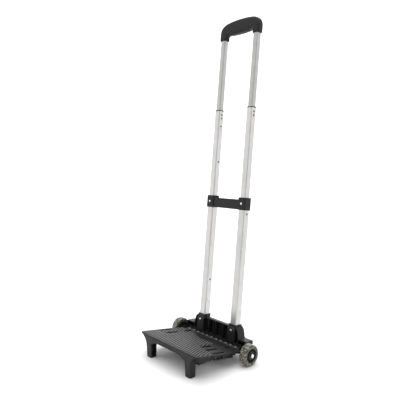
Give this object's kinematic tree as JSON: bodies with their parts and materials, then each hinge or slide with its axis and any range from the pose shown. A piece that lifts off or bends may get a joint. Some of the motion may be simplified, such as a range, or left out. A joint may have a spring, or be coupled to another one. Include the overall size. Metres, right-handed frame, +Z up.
{
  "type": "folding hand truck",
  "caption": "Small folding hand truck with telescoping twin poles, a loop grip with a release button, a hinged ribbed load deck on two front legs, and two rear wheels.",
  "frame": {"origin": "on the floor at the centre of the footprint of the whole truck, standing and extended", "axes": "+Z up, +Y towards the back, where the poles lean, and the deck reaches out towards -Y; +X to the truck's left as seen from behind, along the axle"},
  "size_m": [0.3296, 0.3136, 1.0124],
  "materials": {
    "anodised_aluminium": "satin",
    "clear_urethane": "gloss",
    "black_nylon": "matte",
    "grip_plastic": "satin",
    "black_moulding": "satin",
    "zinc_plated": "satin",
    "steel": "satin"
  },
  "bodies": {
    "base": {"base_bracket": "black_nylon", "crossbar": "black_moulding", "axle": "steel", "outer_tube_left": "anodised_aluminium", "outer_tube_right": "anodised_aluminium", "outer_bush_left": "black_moulding", "outer_bush_right": "black_moulding", "crossbar_screw_left": "zinc_plated", "crossbar_screw_right": "zinc_plated", "bracket_screw_left": "zinc_plated", "bracket_screw_right": "zinc_plated", "tube_stop_pin_left": "zinc_plated", "tube_stop_pin_right": "zinc_plated", "axle_cap_left": "zinc_plated", "axle_cap_right": "zinc_plated", "wheel_spacer_left": "steel", "wheel_spacer_right": "steel"},
    "middle_stage": {"middle_tube_left": "anodised_aluminium", "middle_tube_right": "anodised_aluminium", "middle_collar_left": "black_moulding", "middle_collar_right": "black_moulding", "middle_lock_block_left": "black_moulding", "middle_lock_block_right": "black_moulding", "middle_pin_spring_left": "steel", "middle_pin_spring_right": "steel"},
    "top_stage": {"grip_front": "grip_plastic", "grip_back": "grip_plastic", "top_tube_left": "anodised_aluminium", "top_tube_right": "anodised_aluminium", "grip_screw_left": "zinc_plated", "grip_screw_right": "zinc_plated", "top_lock_block_left": "black_moulding", "top_lock_block_right": "black_moulding", "top_pin_spring_left": "steel", "top_pin_spring_right": "steel", "button_spring_left": "steel", "button_spring_right": "steel"},
    "release": {"release_button": "black_moulding", "release_rod_left": "anodised_aluminium", "release_rod_right": "anodised_aluminium"},
    "middle_pin_left": {"middle_lock_pin_left": "steel"},
    "middle_pin_right": {"middle_lock_pin_right": "steel"},
    "top_pin_left": {"top_lock_pin_left": "steel"},
    "top_pin_right": {"top_lock_pin_right": "steel"},
    "platform": {"deck": "black_nylon"},
    "wheel_left": {"wheel_hub_left": "black_nylon", "tyre_left": "clear_urethane", "bearing_spacer_left": "steel", "wheel_bearing_left_inner": "steel", "wheel_bearing_left_outer": "steel"},
    "wheel_right": {"wheel_hub_right": "black_nylon", "tyre_right": "clear_urethane", "bearing_spacer_right": "steel", "wheel_bearing_right_inner": "steel", "wheel_bearing_right_outer": "steel"}
  },
  "joints": [
    {"name": "middle_slide", "type": "slide", "parent": "base", "child": "middle_stage", "axis": [0, 0.1004, 0.995], "range_m": [-0.262, 0]},
    {"name": "top_slide", "type": "slide", "parent": "middle_stage", "child": "top_stage", "axis": [0, 0.1004, 0.995], "range_m": [-0.215, 0]},
    {"name": "platform_fold", "type": "hinge", "parent": "base", "child": "platform", "pos_m": [0, 0.0215, 0.0305], "axis": [-1, 0, 0], "range_deg": [0, 85.2]},
    {"name": "wheel_left_spin", "type": "hinge", "parent": "base", "child": "wheel_left", "pos_m": [-0.1484, 0.0215, 0.0305], "axis": [1, 0, 0], "continuous": true},
    {"name": "wheel_right_spin", "type": "hinge", "parent": "base", "child": "wheel_right", "pos_m": [0.1484, 0.0215, 0.0305], "axis": [1, 0, 0], "continuous": true},
    {"name": "button_press", "type": "slide", "parent": "top_stage", "child": "release", "axis": [0, 0.1004, 0.995], "range_m": [0, 0.004], "stiffness_N_per_m": 600, "springref_m": -0.002, "deforming": ["button_spring_left", "button_spring_right"]},
    {"name": "middle_pin_left_retract", "type": "slide", "parent": "middle_stage", "child": "middle_pin_left", "axis": [1, 0, 0], "range_m": [0, 0.0015], "deforming": ["middle_pin_spring_left"]},
    {"name": "middle_pin_right_retract", "type": "slide", "parent": "middle_stage", "child": "middle_pin_right", "axis": [-1, 0, 0], "range_m": [0, 0.0015], "deforming": ["middle_pin_spring_right"]},
    {"name": "top_pin_left_retract", "type": "slide", "parent": "top_stage", "child": "top_pin_left", "axis": [1, 0, 0], "range_m": [0, 0.0015], "deforming": ["top_pin_spring_left"]},
    {"name": "top_pin_right_retract", "type": "slide", "parent": "top_stage", "child": "top_pin_right", "axis": [-1, 0, 0], "range_m": [0, 0.0015], "deforming": ["top_pin_spring_right"]}
  ],
  "couplings": [
    {"joint": "middle_pin_left_retract", "follows": "button_press", "ratio": 0.375},
    {"joint": "middle_pin_right_retract", "follows": "button_press", "ratio": 0.375},
    {"joint": "top_pin_left_retract", "follows": "button_press", "ratio": 0.375},
    {"joint": "top_pin_right_retract", "follows": "button_press", "ratio": 0.375}
  ]
}
